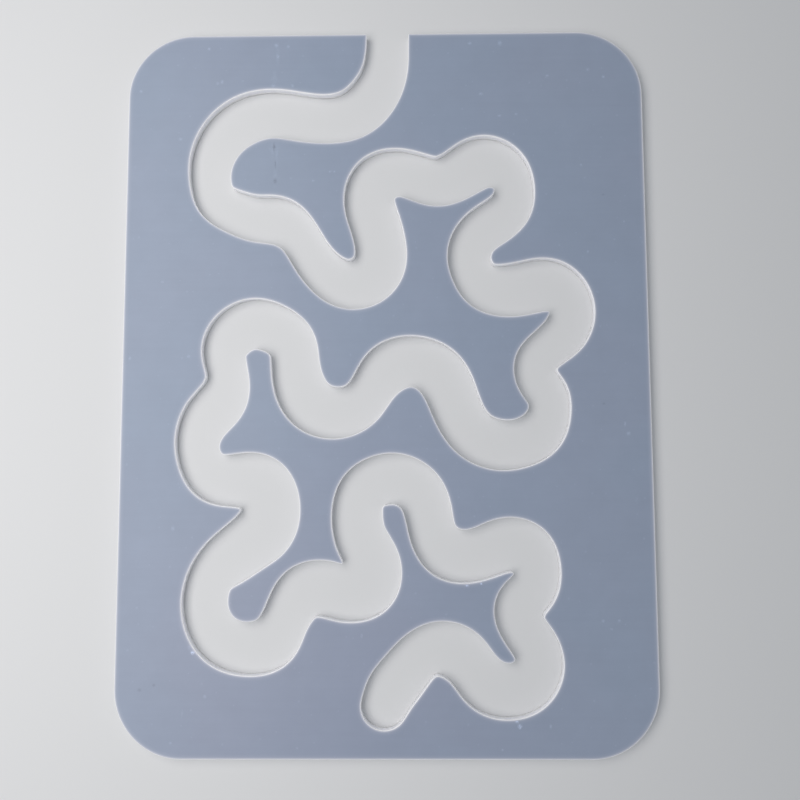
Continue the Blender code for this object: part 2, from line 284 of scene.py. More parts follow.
@dataclass(frozen=True)
class Outline:
    """A closed edge of the sheet, seen from above, with the solid on its left.

    Attributes:
        points: Rows of x and y, in metres.
        corner: A turn beyond this angle, in radians, is a sharp corner.
    """

    points: np.ndarray
    corner: float = math.radians(70.0)

    @classmethod
    def of_node(cls, node: bpy.types.Object, weld: float) -> Outline:
        """Reads the upper end of the wall from a node of the frame.

        Args:
            node: The sheet's node.
            weld: Points nearer to each other than this are one point, in metres.

        Returns:
            The outline through the wall's own points.
        """
        shape = bmesh.new()
        shape.from_mesh(node.data)
        bmesh.ops.remove_doubles(shape, verts=shape.verts, dist=weld)
        levels = [vert.co.z for vert in shape.verts]
        half = (max(levels) - min(levels)) / 2
        walls = []
        for face in shape.faces:
            heights = [vert.co.z for vert in face.verts]
            if max(heights) - min(heights) > half:
                walls.append(face)
        high = max(vert.co.z for face in walls for vert in face.verts)
        links: dict[int, list[int]] = {}
        for edge in {edge for face in walls for edge in face.edges}:
            first, second = edge.verts
            if min(first.co.z, second.co.z) > high - weld:
                links.setdefault(first.index, []).append(second.index)
                links.setdefault(second.index, []).append(first.index)
        places = {vert.index: tuple(vert.co.xy) for vert in shape.verts}
        shape.free()
        start = min(links, key=lambda index: places[index])
        order = [start, links[start][0]]
        while order[-1] != start:
            ahead, other = links[order[-1]]
            order.append(other if ahead == order[-2] else ahead)
        points = np.array([places[index] for index in order[:-1]])
        outline = cls(points)
        return outline if outline.area() > 0.0 else cls(points[::-1])

    def area(self) -> float:
        """The area inside, positive when the points run counter-clockwise, in square metres."""
        x, y = self.points.T
        return float(np.sum(x * np.roll(y, -1) - y * np.roll(x, -1)) / 2)

    def ahead(self) -> np.ndarray:
        """The step from each point to the next one."""
        return np.roll(self.points, -1, axis=0) - self.points

    def turns(self) -> np.ndarray:
        """How the edge turns at each point.

        Returns:
            The angles, in radians, positive to the left.
        """
        after = self.ahead()
        before = np.roll(after, 1, axis=0)
        cross = before[:, 0] * after[:, 1] - before[:, 1] * after[:, 0]
        return np.arctan2(cross, np.sum(before * after, axis=1))

    def run(self) -> np.ndarray:
        """How far along the edge each point is, in metres."""
        steps = np.linalg.norm(self.ahead(), axis=1)
        return np.concatenate([[0.0], np.cumsum(steps[:-1])])

    def smoothed(self, spacing: float, finest_turn: float, longest_bend: float) -> Outline:
        """Adds points on a smooth curve through the ones there are, except across sharp corners.

        Args:
            spacing: The longest step that may be left, in metres.
            finest_turn: The largest turn that may be left in one step, in radians.
            longest_bend: A longer step than this stays straight, in metres.

        Returns:
            The finer outline.
        """
        turns = np.abs(self.turns())
        sharp = turns > self.corner
        count = len(self.points)
        found = []
        for i in range(count):
            ahead = (i + 1) % count
            here = self.points[i]
            there = self.points[ahead]
            length = float(np.linalg.norm(there - here))
            bend = sum(turns[k] / 2 for k in (i, ahead) if not sharp[k])
            cuts = max(math.ceil(length / spacing), math.ceil(bend / finest_turn), 1)
            shares = np.arange(cuts)[:, None] / cuts
            if length > longest_bend:
                found.append(here + (there - here) * shares)
                continue
            before = self._neighbour(here, self.points[i - 1], there, length, bool(sharp[i]))
            beyond = self.points[(i + 2) % count]
            after = self._neighbour(there, beyond, here, length, bool(sharp[ahead]))
            found.append(self._curve(before, here, there, after, shares))
        return Outline(np.vstack(found), self.corner)

    @staticmethod
    def _neighbour(
        end: np.ndarray, beyond: np.ndarray, other: np.ndarray, length: float, sharp: bool
    ) -> np.ndarray:
        """The point beyond a step's end that shapes its curve.

        Args:
            end: The step's end.
            beyond: The outline's next point past that end.
            other: The step's other end.
            length: The step's length, which the point's distance doesn't pass.
            sharp: Whether the end is a sharp corner, past which the step runs straight on.

        Returns:
            The point.
        """
        if sharp:
            return end + (end - other)
        away = beyond - end
        return end + away * min(1.0, length / float(np.linalg.norm(away)))

    @staticmethod
    def _curve(
        before: np.ndarray, start: np.ndarray, end: np.ndarray, after: np.ndarray, shares: np.ndarray
    ) -> np.ndarray:
        """Points on a smooth curve from start to end.

        Args:
            before: The point ahead of start.
            start: Where the curve begins.
            end: Where it ends.
            after: The point past end.
            shares: How far along each wanted point is, from 0 to 1, as a column.

        Returns:
            The points as rows.
        """
        knots = [0.0]
        chain = (before, start, end, after)
        for a, b in zip(chain[:-1], chain[1:]):
            knots.append(knots[-1] + math.sqrt(float(np.linalg.norm(b - a))))
        t0, t1, t2, t3 = knots
        t = t1 + (t2 - t1) * shares
        a1 = (t1 - t) / (t1 - t0) * before + (t - t0) / (t1 - t0) * start
        a2 = (t2 - t) / (t2 - t1) * start + (t - t1) / (t2 - t1) * end
        a3 = (t3 - t) / (t3 - t2) * end + (t - t2) / (t3 - t2) * after
        b1 = (t2 - t) / (t2 - t0) * a1 + (t - t0) / (t2 - t0) * a2
        b2 = (t3 - t) / (t3 - t1) * a2 + (t - t1) / (t3 - t1) * a3
        return (t2 - t) / (t2 - t1) * b1 + (t - t1) / (t2 - t1) * b2

    def within(self, low: Vector, high: Vector) -> Outline:
        """The same outline with nothing outside the corners low and high."""
        return Outline(np.clip(self.points, (low.x, low.y), (high.x, high.y)), self.corner)

    def inward(self) -> tuple[np.ndarray, np.ndarray]:
        """The way into the solid at each point.

        Returns:
            The unit direction, and how much longer than its distance an inset is at a corner.
        """
        after = self.ahead()
        lengths = np.linalg.norm(after, axis=1)[:, None]
        left = np.column_stack([-after[:, 1], after[:, 0]]) / lengths
        before = np.roll(left, 1, axis=0)
        middle = left * np.roll(lengths, 1, axis=0) + before * lengths
        sharp = np.abs(self.turns()) > self.corner
        middle[sharp] = (left + before)[sharp]
        middle /= np.linalg.norm(middle, axis=1)[:, None]
        widening = 1.0 / np.maximum(np.sum(middle * left, axis=1), math.cos(self.corner))
        return middle, widening

    def room(self, direction: np.ndarray, rows_at_once: int = 400) -> np.ndarray:
        """The radius of the largest circle in the solid that touches the edge at each point.

        Args:
            direction: The way into the solid at each point.
            rows_at_once: How many points are worked on together.

        Returns:
            The radii, in metres. No radius is larger than its neighbour's by more than the step
            between them.
        """
        found = np.empty(len(self.points))
        for first in range(0, len(self.points), rows_at_once):
            rows = slice(first, first + rows_at_once)
            away = self.points[None] - self.points[rows, None]
            into = np.einsum("ijk,ik->ij", away, direction[rows])
            square = np.sum(away**2, axis=2)
            with np.errstate(divide="ignore", invalid="ignore"):
                radii = np.where(into > 0.0, square / (2 * into), np.inf)
            found[rows] = radii.min(axis=1)
        beside = np.minimum(np.roll(found, 1), np.roll(found, -1))
        found = np.where(np.abs(self.turns()) > self.corner, beside, found)
        steps = np.linalg.norm(self.ahead(), axis=1)
        count = len(found)
        # Two laps each way, because the edge is closed
        for i in range(2 * count):
            found[i % count] = min(found[i % count], found[(i - 1) % count] + steps[(i - 1) % count])
        for i in reversed(range(2 * count)):
            found[i % count] = min(found[i % count], found[(i + 1) % count] + steps[i % count])
        return found


class Nodes:
    """A node tree with short ways to add its nodes and join them."""

    def __init__(self, tree: bpy.types.NodeTree) -> None:
        """Takes over a tree.

        Args:
            tree: The tree of a material or of the world, which is emptied.
        """
        self.tree = tree
        tree.nodes.clear()

    def add(self, kind: str, inputs: dict[str | int, Any] | None = None, **settings: Any) -> bpy.types.Node:
        """Adds a node.

        Args:
            kind: The node's type.
            inputs: A value or a socket for each named or numbered input.
            settings: The node's own properties.

        Returns:
            The node.
        """
        node = self.tree.nodes.new(kind)
        for name, value in settings.items():
            setattr(node, name, value)
        for key, value in (inputs or {}).items():
            self.put(node.inputs[key], value)
        return node

    def put(self, socket: bpy.types.NodeSocket, value: Any) -> None:
        """Sets an input to a value, or joins it to another node's output.

        Args:
            socket: The input.
            value: The value, or the output that is joined to it.
        """
        if isinstance(value, bpy.types.NodeSocket):
            self.tree.links.new(value, socket)
        else:
            socket.default_value = value

    def math(self, operation: str, *values: Any, clamp: bool = False) -> bpy.types.NodeSocket:
        """The result of a sum on one to three numbers or sockets."""
        inputs = dict(enumerate(values))
        return self.add("ShaderNodeMath", inputs, operation=operation, use_clamp=clamp).outputs[0]

    def vector(self, operation: str, *values: Any) -> bpy.types.Node:
        """A sum on one or two vectors or sockets."""
        return self.add("ShaderNodeVectorMath", dict(enumerate(values)), operation=operation)

    def blend(self, share: Any, first: Any, second: Any, kind: str = "MIX") -> bpy.types.NodeSocket:
        """A mix of two colours.

        Args:
            share: How much of the second colour there is.
            first: A colour or a socket.
            second: A colour or a socket.
            kind: How they are mixed.

        Returns:
            The mixed colour.
        """
        node = self.add("ShaderNodeMix", data_type="RGBA", blend_type=kind)
        self.put(node.inputs["Factor"], share)
        colours = [socket for socket in node.inputs if socket.type == "RGBA"]
        self.put(colours[0], first)
        self.put(colours[1], second)
        return next(socket for socket in node.outputs if socket.type == "RGBA")

    def fade(
        self, value: Any, low: float, high: float, at_low: float, at_high: float
    ) -> bpy.types.NodeSocket:
        """Carries a value smoothly from one range to another, and holds it at the ends.

        Args:
            value: The value's socket.
            low: Where the change begins.
            high: Where the change ends.
            at_low: The result at and below low.
            at_high: The result at and above high.

        Returns:
            The result.
        """
        inputs = {"Value": value, "From Min": low, "From Max": high, "To Min": at_low, "To Max": at_high}
        return self.add("ShaderNodeMapRange", inputs, interpolation_type="SMOOTHSTEP").outputs["Result"]

    def noise(
        self, vector: Any, scale: float, detail: float = 2.0, roughness: float = 0.5
    ) -> bpy.types.NodeSocket:
        """Soft noise about 0.5.

        Args:
            vector: Where it is read.
            scale: Its lumps to the metre.
            detail: How many finer layers it has.
            roughness: How strong each finer layer is.

        Returns:
            The noise's value.
        """
        inputs = {"Vector": vector, "Scale": scale, "Detail": detail, "Roughness": roughness}
        return self.add("ShaderNodeTexNoise", inputs).outputs["Fac"]

    def carried(self, channel: Channel) -> bpy.types.NodeSocket:
        """A value that the mesh carries."""
        return self.add("ShaderNodeAttribute", attribute_name=channel.value).outputs["Fac"]


@dataclass(frozen=True)
class Dust:
    """One scatter of fine pale dust.

    Attributes:
        step: The step between its grains, in metres.
        reach: The radius of a grain, in metres.
        strength: How much lighter the plastic is in the middle of a grain.
    """

    step: float
    reach: float
    strength: float


@dataclass(frozen=True)
class FrostedFace:
    """The milky, satin face of the sheet, with a painted highlight and a painted glow beside its rims.

    Attributes:
        cool: The bluish tint of the milky plastic.
        mauve: The tint that it drifts to towards one side, and a little in patches.
        mauve_middle: Where the mauve is strongest, in metres from the sheet's middle.
        mauve_reach: How far from there the mauve is gone, in metres.
        mottle_share: How mauve the patches are elsewhere.
        painted_rim_light: The paler tint of the painted light beside a cut edge.
        highlight_band_start: Where the painted highlight band beside the rim begins to fade, in metres from
            the edge.
        highlight_band_end: Where that painted highlight band ends, in metres from the edge.
        highlight_band_share: How much of the paler tint the painted highlight band has.
        painted_glow_share: How much of the paler tint the painted glow of the lower rim, seen through the
            sheet, has at the rim.
        roughness: How dull the satin is.
        roughness_spread: How much the frosting's grain changes that.
        mottle_size: The size of the patches of tint, in metres.
        mottle_fade: Where in its noise a patch begins, and where it is full.
        cloud_size: The size of the fainter clouds, in metres.
        cloud_layers: How many finer layers the clouds have, and how strong each one is.
        cloud_strength: How much the clouds change the lightness.
        streak_step: The step between the faint streaks across the sheet, in metres.
        streak_layers: How many finer layers the streaks have, and how strong each one is.
        streak_squeeze: How fast a streak changes along its length, beside across it.
        streak_strength: How much the streaks change the lightness.
        dust: The scatters of dust.
        wear_grain: The size of the grain that makes the marks ragged, in metres.
        wear_fade: Where in that grain's noise a mark is weakest, and where it is strongest.
        wear_share: How much of the mark shows there.
        grain_size: The size of the frosting's grain, in metres.
        relief: How much the frosting's relief shows.
        relief_height: The height of that relief, in metres.
        relief_share: How much the lightness adds to the relief.
        painted_glow_reach: How far the painted glow reaches in from the rim, in metres.
    """

    cool: tuple[float, float, float, float] = (0.265, 0.318, 0.424, 1.0)
    mauve: tuple[float, float, float, float] = (0.278, 0.315, 0.420, 1.0)
    mauve_middle: tuple[float, float, float] = (-0.03, -0.09, 0.0)
    mauve_reach: float = 0.10
    mottle_share: float = 0.35
    painted_rim_light: tuple[float, float, float, float] = (0.60, 0.61, 0.69, 1.0)
    highlight_band_start: float = 0.0002
    highlight_band_end: float = 0.0008
    highlight_band_share: float = 0.60
    painted_glow_share: float = 0.18
    roughness: float = 0.44
    roughness_spread: float = 0.10
    mottle_size: float = 0.045
    mottle_fade: tuple[float, float] = (0.35, 0.65)
    cloud_size: float = 0.009
    cloud_layers: tuple[float, float] = (3.0, 0.6)
    cloud_strength: float = 0.10
    streak_step: float = 0.0016
    streak_layers: tuple[float, float] = (3.0, 0.65)
    streak_squeeze: float = 0.03
    streak_strength: float = 0.05
    dust: tuple[Dust, ...] = (Dust(0.011, 0.00035, 0.12), Dust(0.019, 0.00055, 0.10))
    wear_grain: float = 0.0004
    wear_fade: tuple[float, float] = (0.35, 0.60)
    wear_share: tuple[float, float] = (0.4, 1.3)
    grain_size: float = 0.00022
    relief: float = 0.10
    relief_height: float = 0.00002
    relief_share: float = 0.5
    painted_glow_reach: float = 0.0019

    def material(self, name: str) -> bpy.types.Material:
        """Makes the material.

        Args:
            name: The material's name.

        Returns:
            The material.
        """
        made = bpy.data.materials.new(name)
        made.use_nodes = True
        nodes = Nodes(made.node_tree)
        place = nodes.add("ShaderNodeTexCoord").outputs["Object"]
        apart = nodes.vector("DISTANCE", place, self.mauve_middle).outputs["Value"]
        drift = nodes.fade(apart, 0.0, self.mauve_reach, 1.0, 0.0)
        patches = nodes.noise(place, 1.0 / self.mottle_size)
        mottle = nodes.fade(patches, *self.mottle_fade, 0.0, self.mottle_share)
        colour = nodes.blend(nodes.math("ADD", drift, mottle, clamp=True), self.cool, self.mauve)
        lightness = self._lightness(nodes, place)
        colour = nodes.vector("SCALE", colour)
        nodes.put(colour.inputs["Scale"], lightness)
        # The pale band and glow beside the rim are painted light: a painted highlight along the rim, and a
        # painted glow where the lower rim's light shows through the sheet.
        inset = nodes.carried(Channel.INSET)
        glow = nodes.fade(inset, 0.0, self.painted_glow_reach, self.painted_glow_share, 0.0)
        band = nodes.fade(inset, self.highlight_band_start, self.highlight_band_end, self.highlight_band_share, 0.0)
        rim_lit_colour = nodes.blend(nodes.math("ADD", glow, band), colour.outputs[0], self.painted_rim_light)
        grain = nodes.noise(place, 1.0 / self.grain_size)
        dullest = self.roughness - self.roughness_spread / 2
        dullness = nodes.math("MULTIPLY_ADD", grain, self.roughness_spread, dullest)
        height = nodes.math("MULTIPLY_ADD", lightness, self.relief_share, grain)
        inputs = {"Strength": self.relief, "Distance": self.relief_height, "Height": height}
        bump = nodes.add("ShaderNodeBump", inputs)
        inputs = {"Base Color": rim_lit_colour, "Roughness": dullness, "Normal": bump.outputs["Normal"]}
        shader = nodes.add("ShaderNodeBsdfPrincipled", {**inputs, "IOR": PLASTIC_IOR})
        nodes.add("ShaderNodeOutputMaterial", {"Surface": shader.outputs["BSDF"]})
        return made

    def _lightness(self, nodes: Nodes, place: bpy.types.NodeSocket) -> bpy.types.NodeSocket:
        """How light the plastic is beside its plain tint, with its clouds, streaks, dust and wear.

        Args:
            nodes: The material's nodes.
            place: Where on the sheet it is read.

        Returns:
            The factor for the tint, about 1.
        """
        cloud = nodes.noise(place, 1.0 / self.cloud_size, *self.cloud_layers)
        darkest = 1.0 - self.cloud_strength / 2
        cloud = nodes.math("MULTIPLY_ADD", cloud, self.cloud_strength, darkest)
        squeeze = (self.streak_squeeze / self.streak_step, 1.0 / self.streak_step, 0.0)
        streak_place = nodes.vector("MULTIPLY", place, squeeze).outputs[0]
        streak = nodes.noise(streak_place, 1.0, *self.streak_layers)
        streak = nodes.math("MULTIPLY_ADD", streak, self.streak_strength, -self.streak_strength / 2)
        value = nodes.math("ADD", cloud, streak)
        for dust in self.dust:
            inputs = {"Vector": place, "Scale": 1.0 / dust.step}
            cells = nodes.add("ShaderNodeTexVoronoi", inputs, voronoi_dimensions="2D", feature="F1")
            apart = cells.outputs["Distance"]
            spot = nodes.fade(apart, 0.0, dust.reach / dust.step, dust.strength, 0.0)
            value = nodes.math("ADD", value, spot)
        grain = nodes.noise(place, 1.0 / self.wear_grain)
        ragged = nodes.fade(grain, *self.wear_fade, *self.wear_share)
        return nodes.math("MULTIPLY_ADD", nodes.carried(Channel.WEAR), ragged, value)


@dataclass(frozen=True)
class CutEdge:
    """The paler walls and rims, where the cut has roughened the plastic; their paleness is partly painted
    glow of the light carried through the sheet, with a painted highlight at the upper rim.

    Attributes:
        upper_tint_and_highlight: The tint at the upper rim, with a painted highlight.
        wall_tint: The tint halfway down the wall, partly painted glow.
        painted_lower_glow_tint: The painted glow at the lower rim, where the light inside the sheet
            gathers.
        upper_end: Where the upper rim's tint and painted highlight are gone, as a share of the way down the
            wall.
        lower_glow_fade: Where the lower rim's painted glow begins, and where it is full, as shares of that
            way.
        roughness: How dull the cut is.
        roughness_spread: How much the cut's upright marks change that.
        stroke_step: The step between those marks, in metres.
        stroke_layers: How many finer layers the marks have, and how strong each one is.
        stroke_change: How far along their noise the marks go from rim to rim, in metres.
        stroke_shade: How much the marks change the lightness.
        relief: How much the marks' relief shows.
        relief_height: The height of that relief, in metres.
        glow_depth: How far light that entered the plastic elsewhere travels to the cut, in metres.
        glow_colours: How far red, green and blue light travel, as shares of that.
    """

    upper_tint_and_highlight: tuple[float, float, float, float] = (0.88, 0.88, 0.92, 1.0)
    wall_tint: tuple[float, float, float, float] = (0.84, 0.84, 0.90, 1.0)
    painted_lower_glow_tint: tuple[float, float, float, float] = (0.97, 0.97, 0.98, 1.0)
    upper_end: float = 0.30
    lower_glow_fade: tuple[float, float] = (0.50, 0.95)
    roughness: float = 0.38
    roughness_spread: float = 0.20
    stroke_step: float = 0.00045
    stroke_layers: tuple[float, float] = (3.0, 0.6)
    stroke_change: float = 0.0004
    stroke_shade: float = 0.16
    relief: float = 0.25
    relief_height: float = 0.00003
    glow_depth: float = 0.002
    glow_colours: tuple[float, float, float] = (1.0, 1.0, 1.0)

    def material(self, name: str) -> bpy.types.Material:
        """Makes the material.

        Args:
            name: The material's name.

        Returns:
            The material.
        """
        made = bpy.data.materials.new(name)
        made.use_nodes = True
        nodes = Nodes(made.node_tree)
        depth = nodes.carried(Channel.DEPTH)
        run = nodes.carried(Channel.RUN)
        # The upper rim's tint holds a painted highlight, and the lower rim's near-white tint is a painted
        # glow of the light gathered inside the sheet; the wall's pale tint is partly painted glow too.
        upper = nodes.fade(depth, 0.0, self.upper_end, 1.0, 0.0)
        lower = nodes.fade(depth, *self.lower_glow_fade, 0.0, 1.0)
        change = nodes.math("MULTIPLY", depth, self.stroke_change)
        along = nodes.add("ShaderNodeCombineXYZ", {"X": run, "Y": change}).outputs[0]
        stroke = nodes.noise(along, 1.0 / self.stroke_step, *self.stroke_layers)
        colour = nodes.blend(upper, self.wall_tint, self.upper_tint_and_highlight)
        colour = nodes.blend(lower, colour, self.painted_lower_glow_tint)
        shaded = nodes.vector("SCALE", colour)
        darkest = 1.0 - self.stroke_shade / 2
        shade = nodes.math("MULTIPLY_ADD", stroke, self.stroke_shade, darkest)
        nodes.put(shaded.inputs["Scale"], shade)
        dullest = self.roughness - self.roughness_spread / 2
        dullness = nodes.math("MULTIPLY_ADD", stroke, self.roughness_spread, dullest)
        inputs = {"Strength": self.relief, "Distance": self.relief_height, "Height": stroke}
        bump = nodes.add("ShaderNodeBump", inputs)
        inputs = {"Base Color": shaded.outputs[0], "Roughness": dullness, "Normal": bump.outputs["Normal"]}
        shader = nodes.add("ShaderNodeBsdfPrincipled", {**inputs, "IOR": PLASTIC_IOR})
        nodes.put(shader.inputs["Subsurface Weight"], 1.0)
        nodes.put(shader.inputs["Subsurface Radius"], self.glow_colours)
        nodes.put(shader.inputs["Subsurface Scale"], self.glow_depth)
        nodes.add("ShaderNodeOutputMaterial", {"Surface": shader.outputs["BSDF"]})
        return made


@dataclass
class TemplateSheet:
    """The sheet: its walls, rims and faces, and how they are dressed.

    Attributes:
        rim_radius: The radius of both rims, in metres.
        rim_steps: How many steps go round a rim.
        wall_rows: How many rows of faces the wall has between its rims.
        face_insets: The rows of points beside the rims on both faces, in metres from the edge.
        spacing: The longest step along the edge, in metres.
        finest_turn: The largest turn in one step along the edge, in radians.
        longest_bend: A longer facet of the frame's wall than this is straight, in metres.
        room_share: The share of the room to the opposite edge that an inset may use.
        fill_step: The step between the points in the middle of a face, in metres.
        weld: Points of the frame nearer to each other than this are one, in metres.
        mark_crowding: How many times closer than the spacing a mark's points may come to the rim's rows.
        chip_fall: How deep under the upper face a chip runs out, in metres.
        chip_teeth: How fast a chip's teeth follow each other, in radians to half its length.
        chip_raggedness: The teeth's share of the chip's depth.
        deep_bite: A bite that lightens the plastic to white, in metres.
        chip_halo: How far beyond a chip the plastic is still lighter, in metres.
        face: The finish of both faces.
        edge: The finish of the walls and rims.
    """

    rim_radius: float = 0.0002
    rim_steps: int = 4
    wall_rows: int = 4
    face_insets: tuple[float, ...] = (0.00028, 0.0004, 0.0006, 0.0009, 0.0013, 0.0018, 0.0025)
    spacing: float = 0.0005
    finest_turn: float = math.radians(9.0)
    longest_bend: float = 0.008
    room_share: float = 0.9
    fill_step: float = 0.003
    weld: float = 0.00001
    mark_crowding: float = 3.0
    chip_fall: float = 0.0012
    chip_teeth: float = 7.0
    chip_raggedness: float = 0.25
    deep_bite: float = 0.0005
    chip_halo: float = 0.0005
    face: FrostedFace = FrostedFace()
    edge: CutEdge = CutEdge()

    def build(self, node: bpy.types.Object) -> bpy.types.Object:
        """Builds and dresses the sheet in place of its node.

        Args:
            node: The sheet's node in the frame.

        Returns:
            The sheet.
        """
        low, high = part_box(node.name)
        outline = Outline.of_node(node, self.weld)
        outline = outline.smoothed(self.spacing, self.finest_turn, self.longest_bend).within(low, high)
        sheet = self._mesh_object("frosted_sheet", outline, low, high)
        self.dress(sheet)
        log.info("%s: %d points along its edge", sheet.name, len(outline.points))
        return sheet

    def rows(self, low: float, high: float) -> list[tuple[float, float, Patch]]:
        """The rows of points, from the middle of the upper face over the wall to the under face.

        Args:
            low: The under face's height.
            high: The upper face's height.

        Returns:
            For each row its inset, its height and the patch that the faces after it belong to.
        """
        radius = self.rim_radius
        upper = [(inset, high, Patch.FACE) for inset in reversed(self.face_insets)]
        for step in range(self.rim_steps + 1):
            angle = math.pi / 2 * (1.0 - step / self.rim_steps)
            inset = radius * (1.0 - math.cos(angle))
            fall = radius * (1.0 - math.sin(angle))
            upper.append((inset, high - fall, Patch.EDGE))
        wall = []
        for step in range(1, self.wall_rows):
            share = step / self.wall_rows
            wall.append((0.0, high - radius + (low - high + 2 * radius) * share, Patch.EDGE))
        under = [(inset, low + high - height, Patch.EDGE) for inset, height, _ in reversed(upper)]
        first_face = len(under) - len(self.face_insets) - 1
        under = [(*row[:2], Patch.EDGE if k < first_face else Patch.FACE) for k, row in enumerate(under)]
        return [*upper, *wall, *under]

    def bites(self, outline: Outline, low: Vector, high: Vector) -> np.ndarray:
        """How deep the chips bite into the upper rim.

        Args:
            outline: The sheet's edge.
            low: The sheet's lowest corner.
            high: The sheet's highest corner.

        Returns:
            The depth at each point of the edge, in metres.
        """
        run = outline.run()
        length = run[-1] + float(np.linalg.norm(outline.points[-1] - outline.points[0]))
        bite = np.zeros(len(run))
        for chip in CHIPS:
            place = place_on_sheet(chip.across, chip.down, low, high)
            nearest = int(np.argmin(np.linalg.norm(outline.points - place, axis=1)))
            apart = np.abs(run - run[nearest])
            apart = np.minimum(apart, length - apart) / (chip.length * MILLIMETRE / 2)
            teeth = np.cos(apart * self.chip_teeth + nearest)
            jagged = 1.0 - self.chip_raggedness + self.chip_raggedness * teeth
            bite += chip.depth * MILLIMETRE * np.clip(1.0 - apart**2, 0.0, None) * jagged
        return bite

    def _mesh_object(self, name: str, outline: Outline, low: Vector, high: Vector) -> bpy.types.Object:
        """Builds the sheet's mesh.

        Args:
            name: The piece's name.
            outline: The sheet's edge.
            low: The sheet's lowest corner.
            high: The sheet's highest corner.

        Returns:
            The bare sheet, in the scene.
        """
        rows = self.rows(low.z, high.z)
        bite = self.bites(outline, low, high)
        rings, insets = self._rings(outline, rows, bite, low, high)
        places, triangles = self._fill(rings[0, :, :2], low, high)
        upper = np.column_stack([places, np.full(len(places), high.z)])
        under = np.column_stack([places, np.full(len(places), low.z)])
        every = np.vstack([rings.reshape(-1, 3), upper, under])
        faces, patches = self._faces(rows, len(outline.points), len(places), triangles)
        mesh = bpy.data.meshes.new(name)
        mesh.from_pydata(every, [], faces)
        mesh.polygons.foreach_set("material_index", np.array(patches, dtype=np.int32))
        shares = [(high.z - height) / (high.z - low.z) for _, height, _ in rows]
        depths = np.repeat(shares, len(outline.points))
        middle = every[len(depths) :]
        carried = {
            Channel.INSET: np.append(insets, np.full(len(middle), self.face_insets[-1])),
            Channel.DEPTH: np.append(depths, (middle[:, 2] < high.z).astype(float)),
            Channel.RUN: np.append(np.tile(outline.run(), len(rows)), np.zeros(len(middle))),
            Channel.WEAR: self._wear(every, insets, bite, low, high),
        }
        for channel, values in carried.items():
            attribute = mesh.attributes.new(channel.value, "FLOAT", "POINT")
            attribute.data.foreach_set("value", values.astype(np.float32))
        mesh.shade_smooth()
        mesh.set_sharp_from_angle(angle=outline.corner)
        sheet = bpy.data.objects.new(name, mesh)
        bpy.context.scene.collection.objects.link(sheet)
        return sheet

    def _rings(
        self,
        outline: Outline,
        rows: list[tuple[float, float, Patch]],
        bite: np.ndarray,
        low: Vector,
        high: Vector,
    ) -> tuple[np.ndarray, np.ndarray]:
        """Places the rows of points beside the edge.

        Args:
            outline: The sheet's edge.
            rows: The inset, height and patch of each row.
            bite: How deep the chips bite at each point of the edge.
            low: The sheet's lowest corner.
            high: The sheet's highest corner.

        Returns:
            The points row by row, and how far in from the edge each one is.
        """
        direction, widening = outline.inward()
        room = outline.room(direction) * self.room_share
        rings = np.empty((len(rows), len(outline.points), 3))
        insets = np.empty(rings.shape[:2])
        for k, (inset, height, _) in enumerate(rows):
            bitten = bite * max(0.0, 1.0 - (high.z - height) / self.chip_fall)
            insets[k] = np.minimum(np.maximum(inset, bitten), room)
            rings[k, :, :2] = outline.points + direction * (insets[k] * widening)[:, None]
            sunk = np.maximum(bitten - inset, 0.0) * (inset > 0.0)
            rings[k, :, 2] = height - sunk * (height > (low.z + high.z) / 2)
        return rings, insets

    @staticmethod
    def _faces(
        rows: list[tuple[float, float, Patch]], count: int, added: int, triangles: np.ndarray
    ) -> tuple[list[list[int]], list[Patch]]:
        """Joins the points into faces.

        Args:
            rows: The inset, height and patch of each row.
            count: How many points a row has.
            added: How many points fill the middle of each side.
            triangles: The triangles of that middle, which number the innermost row's points first.

        Returns:
            The corners of every face, and the patch of every face.
        """
        start = np.arange(count)
        ahead = (start + 1) % count
        faces: list[list[int]] = []
        patches: list[Patch] = []
        for k, (_, _, patch) in enumerate(rows[:-1]):
            up = k * count
            down = up + count
            quads = np.column_stack([start + up, start + down, ahead + down, ahead + up])
            faces.extend(quads.tolist())
            patches.extend([patch] * count)
        inner = len(rows) * count
        for ring, first, turn in ((0, inner, 1), (inner - count, inner + added, -1)):
            corners = np.where(triangles < count, triangles + ring, triangles - count + first)
            faces.extend(corners[:, ::turn].tolist())
            patches.extend([Patch.FACE] * len(triangles))
        return faces, patches

    def _wear(
        self, every: np.ndarray, insets: np.ndarray, bite: np.ndarray, low: Vector, high: Vector
    ) -> np.ndarray:
        """How much lighter the plastic is because of the marks and chips.

        Args:
            every: The sheet's points, those beside the edge first.
            insets: How far in from the edge those are, row by row.
            bite: How deep the chips bite at each point of the edge.
            low: The sheet's lowest corner.
            high: The sheet's highest corner.

        Returns:
            The change at each point.
        """
        wear = np.zeros(len(every))
        shown = every[:, 2] > (low.z + high.z) / 2
        for mark in MARKS:
            wear[shown] += mark.change_at(every[shown, :2], low, high)
        beside = np.clip(1.0 - (insets - bite) / self.chip_halo, 0.0, 1.0) * bite / self.deep_bite
        wear[: beside.size] += beside.ravel() * shown[: beside.size]
        return wear

